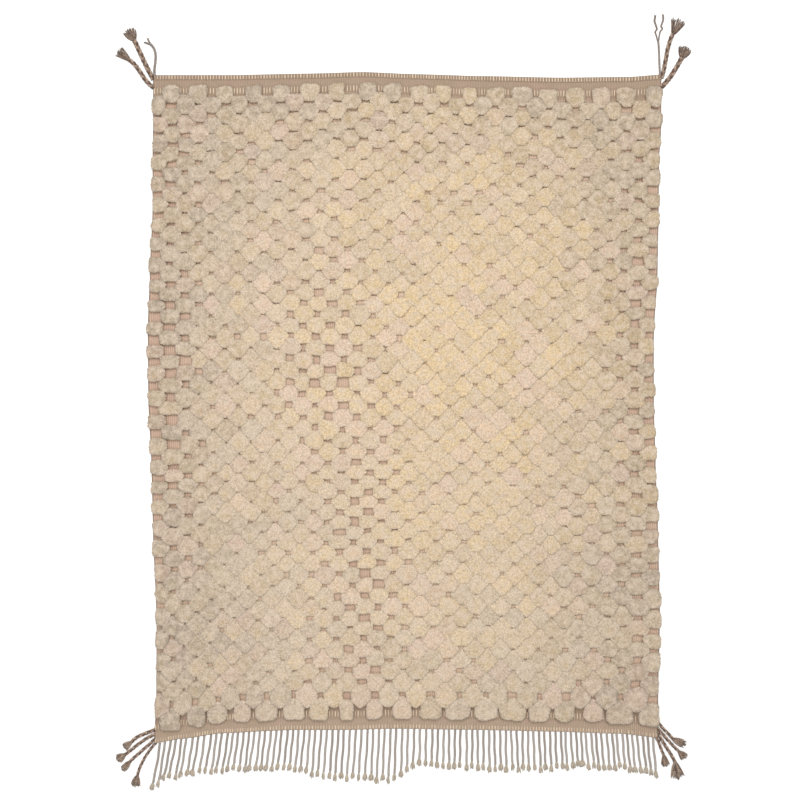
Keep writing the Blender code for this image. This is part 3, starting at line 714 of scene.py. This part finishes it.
def cover(column, row):
    """How far the tufts left, right, above and below a bare cell reach over it."""
    across, along = shares(column, row)
    shut = 1 - np.clip(openness(across, along) + OPEN_UNEVEN * scatter(column + 0.2, row + 0.6), 0, 1)
    combed = np.exp(-((along / COMBED[2]) ** 2))
    wide, long = [
        COVER_OPEN[k] + (COVER_CLOSED[k] - COVER_OPEN[k]) * shut + COVER_UNEVEN * scatter(column + k, row)
        for k in range(2)
    ]
    wide = wide + COMBED[1] * combed
    aside = COVER_ASIDE * scatter(column + 0.4, row)
    above = long + COVER_ASIDE * scatter(column, row + 0.4) + COMBED[0] * combed
    above = np.where(row == ROWS - 1, LAST_COVER, above)
    below = long - COVER_ASIDE * scatter(column, row + 0.4)
    cell_wide, cell_long = cell_size(column, row)
    return (wide + aside) * cell_wide, (wide - aside) * cell_wide, above * cell_long, below * cell_long


def tuft_reach(column, row):
    """How far a tuft would reach to its right, left, top and bottom without its neighbours."""
    wide, long = cell_size(column, row)
    uneven = 1 + TUFT_UNEVEN * scatter(column + 0.3, row)
    right = wide / 2 + np.where(column < COLUMNS - 1, cover(column + 1, row)[0], SIDE_REACH)
    left = wide / 2 + np.where(column > 0, cover(column - 1, row)[1], SIDE_REACH)
    bottom = long / 2 + np.where(row < ROWS - 1, cover(column, row + 1)[2], END_REACH)
    top = long / 2 + np.where(row > 0, cover(column, row - 1)[3], END_REACH)
    return right * uneven, left * uneven, top * uneven, bottom * uneven


def tuft_middle(column, row):
    across, along = shares(column, row)
    x = column_x(across, along) + TUFT_STRAY * scatter(column, row + 0.1)
    y = row_y(across, along) + TUFT_STRAY * scatter(column + 0.1, row)
    return x, y


def press(facing, room):
    """What a border takes off the tufts' reach, from how squarely each direction faces it."""
    return np.where(facing > TINY, room / np.maximum(facing, TINY), FAR_AWAY) ** -PRESS


def tuft_radius(column, row, turn):
    """How far tufts reach at each angle, and how hard neighbours press on them there, 0 to 1."""
    x, y = tuft_middle(column, row)
    right, left, top, bottom = tuft_reach(column, row)
    cos, sin = np.cos(turn)[None, :], np.sin(turn)[None, :]
    wide = np.where(cos > 0, right[:, None], left[:, None])
    long = np.where(sin > 0, top[:, None], bottom[:, None])
    bend = 1.0
    for lobes, reach in TUFT_BEND:
        start = ANY_TURN[0] * scatter(column + lobes, row + 2)[:, None]
        bend = bend + reach * np.sin(lobes * turn[None, :] + start)
    square = 0.5 + 0.5 * scatter(column + 3, row + 5)[:, None]
    square = SQUARENESS[0] + (SQUARENESS[1] - SQUARENESS[0]) * square
    free = (np.abs(cos / wide) ** square + np.abs(sin / long) ** square) ** (-1 / square)
    free *= bend
    inverse = free**-PRESS
    size = (right + left) * (top + bottom) / 4
    for east, south in NEIGHBOURS:
        next_column, next_row = column + east, row + south
        there = (next_column >= 0) & (next_column < COLUMNS) & (next_row >= 0) & (next_row < ROWS)
        away_x, away_y = tuft_middle(next_column, next_row)
        away_x, away_y = away_x - x, away_y - y
        theirs = tuft_reach(next_column, next_row)
        gain = size - (theirs[0] + theirs[1]) * (theirs[2] + theirs[3]) / 4
        facing = np.where(there[:, None], cos * away_x[:, None] + sin * away_y[:, None], 0.0)
        inverse += press(facing, (away_x**2 + away_y**2 + PRESS_SHIFT * gain)[:, None] / 2)
    across, along = shares(column, row)
    walls = (
        (-cos, x - left_edge(along) + SIDE_REACH),
        (cos, right_edge(along) - x + SIDE_REACH),
        (sin, row_y(across, 0.0) - y + END_REACH),
        (-sin, y - row_y(across, 1.0) + END_REACH),
    )
    for facing, room in walls:
        inverse += press(facing, room[:, None])
    radius = inverse ** (-1 / PRESS)
    return radius, np.clip((PRESSED[0] - radius / free) / PRESSED[1], 0.0, 1.0)


def soft_patch(patch, across, along):
    """1 in the middle of a patch of the field, fading to 0 away from it."""
    u, v, wide, long, square = patch
    return np.exp(-(np.abs((across - u) / wide) ** square) - ((along - v) / long) ** 2)


def build_pile(material):
    """The tufts, in joined pieces of some rows each."""
    rows, faces = tuft_template()
    share, turn, end, level = rows.T
    skirt = np.array([(0, 1.0, 1.0), *SKIRT])[level.astype(int)]
    faces = [np.array(face) for face in faces]
    pieces = []
    for part in range(PILE_PIECES):
        first, last = part * ROWS // PILE_PIECES, (part + 1) * ROWS // PILE_PIECES
        row, column = np.mgrid[first:last, 0:COLUMNS]
        chosen = is_tuft(column, row)
        column, row = column[chosen].astype(float), row[chosen].astype(float)
        x, y = tuft_middle(column, row)
        radius, pressed = tuft_radius(column, row, turn)
        number = (column * ROWS + row)[:, None]
        point = np.arange(len(share))[None, :]
        lump = LUMP * np.where(end > 0, 1.0, LUMP_BETWEEN) * (1 + 0.5 * scatter(number, point))
        shoulder = SHOULDER_FREE + (SHOULDER_PRESSED - SHOULDER_FREE) * pressed
        tilt = TUFT_TILT * scatter(column, row + 4)[:, None] ** 3
        tilt = tilt * np.cos(turn + ANY_TURN[1] * scatter(column + 4, row)[:, None])
        tilt = tilt + TUFT_LEAN[0] * np.cos(turn - math.radians(TUFT_LEAN[1]))
        high = PILE_HIGH + PILE_UNEVEN * scatter(column, row)[:, None]
        high = high + TUFT_RANK * scatter(column + 5, row + 3)[:, None] ** 3
        high = high + tilt * share - CROWN * share**2 - shoulder * share**SHOULDER_STEEP
        high = high + lump * (1 - 0.5 * share)
        high = np.where(level > 0, high * skirt[:, 2], high)
        fray = RAGGED * scatter(number + 0.7, point) * share**8
        reach = radius * share * skirt[:, 1] + lump * share**3 + fray + OVERLAP * pressed * share**6
        stray = POINT_STRAY * scatter(number + 0.5, point)
        points_x = x[:, None] + reach * np.cos(turn) + stray
        points_y = y[:, None] + reach * np.sin(turn) - stray
        points = np.stack([points_x, points_y, high], axis=2)
        across, along = shares(column, row)
        # painted light over the middle of the pile and painted shade over the first rows, on top of each
        # tuft's own uneven paleness
        inner = soft_patch(PAINTED_LIGHT_PATCH, across, along)
        pale_tone_and_painted_light = inner - PAINTED_SHADE_ROWS[1] * np.exp(-((along / PAINTED_SHADE_ROWS[0]) ** 2))
        pale_tone_and_painted_light = np.clip(pale_tone_and_painted_light + FAIR_UNEVEN * scatter(column + 2, row + 6), 0, FAIR_MOST)
        warm = WARM * soft_patch(WARM_PATCH, across, along)
        warm = np.clip(warm + WARM_UNEVEN * scatter(column, row + 6), 0, 1)
        pink = np.clip(PINK[0] * scatter(column + 6, row) - PINK[1], 0, PINK[2])
        golden = np.clip(GOLDEN[0] + GOLDEN[1] * scatter(column + 8, row), 0, 1)
        beside = (column - GOLDEN_COLUMN[0]) / GOLDEN_COLUMN[1]
        golden = golden + GOLDEN_COLUMN[2] * np.exp(-(beside**2)) * inner
        east, north = share * np.cos(turn), share * np.sin(turn)
        spot = np.exp(-(east**2 + (north + GOLD_SPOT[0]) ** 2) / GOLD_SPOT[1])
        gold = golden[:, None] * spot
        forms = Forms()
        for k in range(len(column)):
            marks = {"warm": warm[k], "pale_tone_and_painted_light": pale_tone_and_painted_light[k], "pink": pink[k], "gold": GOLD_SPOT[2] * gold[k]}
            # deep marks the skirt rings, which the pile's material paints paler as painted light
            forms.add(points[k], faces, east=east, north=north, deep=level / 3, **marks)
        pieces.append(forms.piece(f"pile_{part + 1}", material))
    return pieces


# ---- the fringe

STRAND_HALF = 0.0044
STRAND_SIDES = 6
STRAND_POINTS = 50
STRAND_TURN = 0.016  # length of one turn of the twist
STRAND_KINK = (0.0012, 1.6)  # how far it waves aside, and how often
STRAND_LIGHT = (0.35, 0.35, 0.40)  # how light, how unevenly, and how much lighter at the end
ROOT_INSIDE = 0.002  # under the weave's edge
LOBE = 0.16
BULB_LOCKS = 9
BULB_LONG = 0.036
BULB_BEYOND = 0.85  # the share of that beyond the cord's end
BULB_HALF = 0.0108
BULB_SPREAD = 0.72  # of its locks, as a share of that
BULB_UNEVEN = 0.2
BULB_REACH = (0.97, 0.10, 0.14)  # of its locks, how much less at the sides, how unevenly
BULB_FADED = (0.75, 0.25)
LOCK_HALF = 0.0026
LOCK_SIDES = 3
LOCK_THICK = np.array([0.6, 0.9, 1.05, 0.95, 0.40])  # from root to tip
LOCK_WAVE = 0.0012


def strand_path(number):
    """A fringe cord's line on the floor, from its root under the weave's edge to its brushed tip."""
    share = np.linspace(0.0, 1.0, STRAND_POINTS)
    across = number / (STRANDS - 1)
    first = column_x(0.0, 1.0) + STRIP_FROM_CORNER + STRIP_BESIDE
    last = column_x(1.0, 1.0) - STRIP_FROM_CORNER - STRIP_BESIDE
    stray = STRAND_STRAY * scatter(number, 2)
    root = first + (last - first) * across + read(STRAND_PLACES, across, 1) + stray
    at = (root + WIDTH / 2) / WIDTH
    length = read(STRAND_LENGTHS, across, 1) + STRAND_UNEVEN * scatter(number)
    lean = read(STRAND_LEANS, across, 1) - stray
    sway = STRAND_SWAY * scatter(number, 1)
    aside = lean * share**STRAND_CURVE + sway * np.sin(0.5 * math.pi * share)
    wave = np.sin(2 * math.pi * (STRAND_KINK[1] * share + scatter(number, 7.0)))
    x = root + aside + STRAND_KINK[0] * wave * np.sin(math.pi * share)
    y = fringed_edge(np.clip(at, 0, 1)) + ROOT_INSIDE - (length + STRIP_DEEP + ROOT_INSIDE) * share
    return np.stack([x, y, np.full(STRAND_POINTS, STRAND_HALF)], axis=1)


def across_lock(lock, locks):
    """Where a lock lies across its bundle, from -1 to 1."""
    return (lock + 0.5) / locks * 2 - 1


def brushed_lock(root, heading, length, aside, half, bend, number, fan=0.6):
    """One lock of a brushed end: it leaves the root, swings aside and comes to a soft tip. It swings
    early if fan is small, and evenly if it is 1."""
    share = np.linspace(0.0, 1.0, len(LOCK_THICK))
    ahead = np.array([math.cos(heading), math.sin(heading)])
    across = np.array([ahead[1], -ahead[0]])
    out = aside * share**fan + bend * np.sin(math.pi * share)
    flat = np.outer(length * share, ahead) + np.outer(out, across)
    high = root[2] + (half * 0.9 - root[2]) * share + LOCK_WAVE * scatter(number, share * 7)
    path = np.column_stack([root[0] + flat[:, 0], root[1] + flat[:, 1], np.maximum(high, half * 0.8)])
    thick = half * LOCK_THICK
    return sweep(path, thick, thick * 0.8, LOCK_SIDES)


def build_fringe(material):
    """The cords of the fringe, each of two plies, with brushed ends."""
    forms = Forms()
    for number in range(STRANDS):
        path = strand_path(number)
        length = np.concatenate([[0], np.cumsum(np.linalg.norm(np.diff(path, axis=0), axis=1))])
        keep = length < length[-1] - BULB_LONG * BULB_BEYOND
        cord = path[keep]
        twist = 2 * math.pi * length[keep] / STRAND_TURN
        half = STRAND_HALF * (1 + 0.05 * scatter(number, 9.0))
        light = STRAND_LIGHT[0] + STRAND_LIGHT[1] * scatter(number, 11.0)
        light = light + STRAND_LIGHT[2] * np.repeat(length[keep] / length[-1], STRAND_SIDES)
        rope = sweep(cord, half, half * 0.94, STRAND_SIDES, twist, LOBE)
        forms.add(*rope, light=np.clip(light, 0, 1), end=0.0)
        tail = path[-1] - cord[-1]
        heading = math.atan2(tail[1], tail[0])
        long = float(np.linalg.norm(tail[:2]))
        plump = 1 + BULB_UNEVEN * scatter(number, 13.0)
        for lock in range(BULB_LOCKS):
            place = across_lock(lock, BULB_LOCKS)
            shorter = BULB_REACH[1] * abs(place)
            reach = long * (BULB_REACH[0] - shorter + BULB_REACH[2] * scatter(number, lock))
            aside = BULB_HALF * BULB_SPREAD * (place + 0.25 * scatter(number, lock + 9)) * plump
            bend = 0.0012 * place + 0.0014 * scatter(number, lock + 0.5)
            root = cord[-1] + np.array([0, 0, LOCK_WAVE * (lock % 2)])
            wisp = brushed_lock(root, heading, reach, aside, LOCK_HALF, bend, number + lock)
            faded = BULB_FADED[0] + BULB_FADED[1] * scatter(number, lock + 20)
            forms.add(*wisp, light=0.6, end=faded)
    return forms.piece("fringe_cords", material, ["fringe"])


# ---- plaits and cord ends

PLAIT_PERIOD = 0.047  # in which a strand crosses over and back
PLAIT_RISE = 0.0016
PLAIT_STATION = 0.0028
PLAIT_STRAND = 0.28  # half a strand's width, as a share of the plait's
PLAIT_FULL = 1.08
PLAIT_INSIDE = 0.003  # within the rug's edge
STRAND_FLAT = 0.82
PLAIT_SIDES = 7
PLAIT_SHADES = (0.0, 0.30, 0.75)  # how light each of its strands is
PLAIT_PAINTED_LIGHT = 0.22  # painted light: how much lighter they are on the side towards +Y, where the key light stands
TASSEL_LOCKS = 22
TASSEL_SHADES = (0.02, 0.60, 0.28)
TASSEL_PALER = {"top": -0.08, "bottom": 0.06}  # how much paler they are at each end
TASSEL_FADED = (0.06, 0.24)
TASSEL_SHORTER = 0.16  # at its sides
TASSEL_RAGGED = 0.10
TASSEL_BEND = 0.003
TASSEL_DEEP = 0.003  # over which its locks' roots lie
TASSEL_NECK = 0.36  # how far they lie aside, in plait widths
TASSEL_SPREAD = 0.46
TASSEL_FAN = 0.8
CORD_SIDES = 8
CORD_INSIDE = 0.004
CORD_TURN = 0.014  # length of one turn of the twist
CORD_POINTS = 48
CORD_LIGHT = (0.6, 0.4)  # how light it is, and by how much its plies differ
PLY_HALF = 0.0028
PLY_FULLER = 0.50  # at its tip
PLY_SIDES = 6
PLY_POINTS = 40
FRAYED_LOCKS = 5
FRAYED_HALF = 0.0013
FRAYED_LONG = 0.010
FRAYED_SPREAD = 0.004


def towards(heading):
    turn = math.radians(heading)
    return np.array([math.cos(turn), math.sin(turn)])


def edge_point(edge, from_corner):
    """A point on the body's outline, as in the solids."""
    length = CLOSED_END + FRINGED_END
    if edge in ("left", "right"):
        corner = 0.0 if edge == "left" else 1.0
        y = float(closed_edge(corner) if from_corner > 0 else fringed_edge(corner)) - from_corner
        along = (CLOSED_END - y) / length
        share = min(max((along * length - BAND) / (length - 2 * BAND), 0.0), 1.0)
        return np.array([float(column_x(corner, share)), y])
    end, along = (closed_edge, 0.0) if edge == "closed" else (fringed_edge, 1.0)
    across = from_corner / WIDTH if from_corner > 0 else 1.0 + from_corner / WIDTH
    return np.array([float(column_x(across, along)), float(end(across))])


def curved_path(start, root, middle, tip, length, steps):
    """Points along a curve whose heading passes through three values, and the heading at each."""
    share = np.linspace(0.0, 1.0, steps)
    heading = (
        root * (2 * share * share - 3 * share + 1)
        + middle * (4 * share - 4 * share * share)
        + tip * (2 * share * share - share)
    )
    turn = np.radians(heading)
    step = length / (steps - 1)
    moves = np.stack([np.cos(turn), np.sin(turn)], axis=1)[:-1] * step
    return start + np.concatenate([[(0, 0)], np.cumsum(moves, axis=0)]), heading


def build_plait(row, number, material):
    """A plait of a dark, a brown and a light strand, with its end brushed out as a tassel."""
    name, edge, from_corner, width, length, root, middle, tip, tassel, long, spread = row
    forms = Forms()
    start = edge_point(edge, from_corner) - towards(root) * PLAIT_INSIDE
    steps = round(length / PLAIT_STATION)
    path, heading = curved_path(start, root, middle, tip, length + PLAIT_INSIDE, steps)
    turn = np.radians(heading)
    across = np.stack([np.sin(turn), -np.cos(turn)], axis=1)
    along = np.linspace(0.0, length, steps)
    strand_half = width * PLAIT_STRAND
    for strand in range(3):
        phase = 2 * math.pi * (along / PLAIT_PERIOD + strand / 3)
        aside = (0.5 * width * PLAIT_FULL - strand_half) * np.sin(phase)
        high = strand_half * 0.85 + PLAIT_RISE * (1 + np.sin(2 * phase))
        line = np.column_stack([path + across * aside[:, None], high])
        points, faces = sweep(line, strand_half, strand_half * STRAND_FLAT, PLAIT_SIDES)
        # painted light: each strand is lighter on its side towards +Y, where the key light stands
        north = (points[:, 1] - np.repeat(path[:, 1], PLAIT_SIDES)) / (0.5 * width)
        light = PLAIT_SHADES[(strand + number) % 3] + PLAIT_PAINTED_LIGHT * north
        forms.add(points, faces, light=np.clip(light, 0, 1), end=0.0)
    head = np.array([*path[-1], strand_half])
    middle_turn = math.radians(tassel)
    paler = TASSEL_PALER[name.split("_")[0]]
    beside = np.array([math.sin(middle_turn), -math.cos(middle_turn)])
    for lock in range(TASSEL_LOCKS):
        place = across_lock(lock, TASSEL_LOCKS)
        reach = long * (1 - TASSEL_SHORTER * abs(place) ** 1.5 + TASSEL_RAGGED * scatter(number, lock))
        aside = TASSEL_SPREAD * spread * place
        bend = TASSEL_BEND * scatter(number, lock + 0.5)
        base = head + np.array([0, 0, TASSEL_DEEP * ((lock * 7) % 4) / 4])
        base[:2] += beside * place * width * TASSEL_NECK
        wisp = brushed_lock(base, middle_turn, reach, aside, LOCK_HALF, bend, number + lock, TASSEL_FAN)
        light = TASSEL_SHADES[(lock * 5 + number) % 3] + paler + 0.15 * scatter(number + 2, lock)
        faded = TASSEL_FADED[0] + paler + TASSEL_FADED[1] * scatter(number, lock + 3)
        forms.add(*wisp, light=max(light, 0.0), end=max(faded, 0.0))
    return forms.piece(f"plait_{name}", material, [f"braid_{name}"])


def build_cord_end(row, number, material):
    """A loose end of the twisted cord that closes the unfringed end, untwisted into its two plies,
    each frayed at its tip."""
    name, from_corner, width, length, root, middle, tip, long = row
    forms = Forms()
    start = edge_point("closed", from_corner) - towards(root) * CORD_INSIDE
    path, _ = curved_path(start, root, middle, tip, length + CORD_INSIDE, CORD_POINTS)
    half = 0.5 * width
    line = np.column_stack([path, np.full(len(path), half * (1 + LOBE))])
    twist = np.linspace(0.0, 2 * math.pi * length / CORD_TURN, len(path))
    light = CORD_LIGHT[0] + CORD_LIGHT[1] * np.sin(np.repeat(PLIES * twist, CORD_SIDES))
    forms.add(*sweep(line, half, half * 0.95, CORD_SIDES, twist, LOBE), light=light, end=0.0)
    ahead = towards(tip)
    across = np.array([ahead[1], -ahead[0]])
    stations = np.array(FREE_ENDS[name])
    share = np.linspace(0.0, 1.0, PLY_POINTS)
    for ply in range(PLIES):
        aside = np.interp(share, stations[:, 0], stations[:, ply + 1])
        aside[1:-1] = (aside[:-2] + 2 * aside[1:-1] + aside[2:]) / 4
        flat = path[-1] + np.outer(long * share, ahead) + np.outer(aside, across)
        thick = PLY_HALF * (1 + PLY_FULLER * share)
        line = np.column_stack([flat, thick])
        forms.add(*sweep(line, thick, thick * 0.9, PLY_SIDES), light=0.12 + 0.30 * ply, end=0.05)
        last = flat[-1] - flat[-4]
        heading = math.atan2(last[1], last[0])
        for lock in range(FRAYED_LOCKS):
            place = across_lock(lock, FRAYED_LOCKS)
            reach = FRAYED_LONG * (1 + 0.3 * scatter(number + ply, lock))
            aside, bend = FRAYED_SPREAD * place, 0.001 * place
            wisp = brushed_lock(line[-3], heading, reach, aside, FRAYED_HALF, bend, lock)
            forms.add(*wisp, light=0.4 + 0.3 * ply, end=0.6 * ply)
    return forms.piece(name.replace("cord_end", "loose_cord"), material, [name])


# ---- the stage

CAMERA_PLACE = (-0.024, 0.016, 4.0)
LENS = 45.7
FLOOR_HALF = 12.0
FLOOR_COLOUR = (0.93, 0.93, 0.92, 1.0)
DAYLIGHT = 0.42
LAMPS = (
    # name, place, size, power
    ("key_light", (0.3, 2.0, 6.0), 3.5, 340.0),
    ("fill_light", (-1.5, -2.2, 6.0), 4.5, 138.0),
)


def build_stage():
    """A plain pale floor, soft light from above and a little from +Y, and the camera over the rug."""
    mesh = bpy.data.meshes.new("floor")
    corners = [(x * FLOOR_HALF, y * FLOOR_HALF, 0.0) for x, y in ((-1, -1), (1, -1), (1, 1), (-1, 1))]
    mesh.from_pydata(corners, [], [(0, 1, 2, 3)])
    paper = bpy.data.materials.new("floor")
    paper.use_nodes = True
    shader = paper.node_tree.nodes["Principled BSDF"]
    shader.inputs["Base Color"].default_value = FLOOR_COLOUR
    shader.inputs["Roughness"].default_value = 0.9
    mesh.materials.append(paper)
    add_object("floor", mesh)
    for name, place, size, power in LAMPS:
        lamp = bpy.data.lights.new(name, "AREA")
        lamp.size = size
        lamp.energy = power
        stand = add_object(name, lamp)
        stand.location = place
        x, y, z = place
        aside = math.atan2(-x, y) + math.pi
        stand.rotation_euler = (math.atan2(math.hypot(x, y), z), 0.0, aside)
        stand.visible_camera = False
    scene = bpy.context.scene
    world = bpy.data.worlds.new("studio")
    world.use_nodes = True
    sky = world.node_tree.nodes["Background"].inputs
    sky["Color"].default_value = (1.0, 1.0, 1.0, 1.0)
    sky["Strength"].default_value = DAYLIGHT
    scene.world = world
    lens = bpy.data.cameras.new("camera")
    lens.lens = LENS
    scene.camera = add_object("camera", lens)
    scene.camera.location = CAMERA_PLACE
    scene.view_settings.view_transform = "Standard"


def build_rug():
    stitch_yarn = twisted_yarn("stitch_yarn", WEAVE_EDGE, STITCH_CREAM)
    fringe_yarn = twisted_yarn("fringe_yarn", FRINGE_BROWN, FRINGE_GREIGE)
    braid_yarn = twisted_yarn("braid_yarn", BRAID_DARK, BRAID_LIGHT, (0.45, 1.55))
    cord_yarn = twisted_yarn("cord_yarn", CORD_DARK, CORD_TAUPE, (0.65, 1.3))
    weave = build_weave(flat_weave())
    parts = [build_stitches(stitch_yarn), *build_pile(wool_pile()), build_fringe(fringe_yarn)]
    parts += [build_plait(row, number, braid_yarn) for number, row in enumerate(PLAITS)]
    parts += [build_cord_end(row, number, cord_yarn) for number, row in enumerate(CORD_ENDS)]


build_rug()
build_stage()
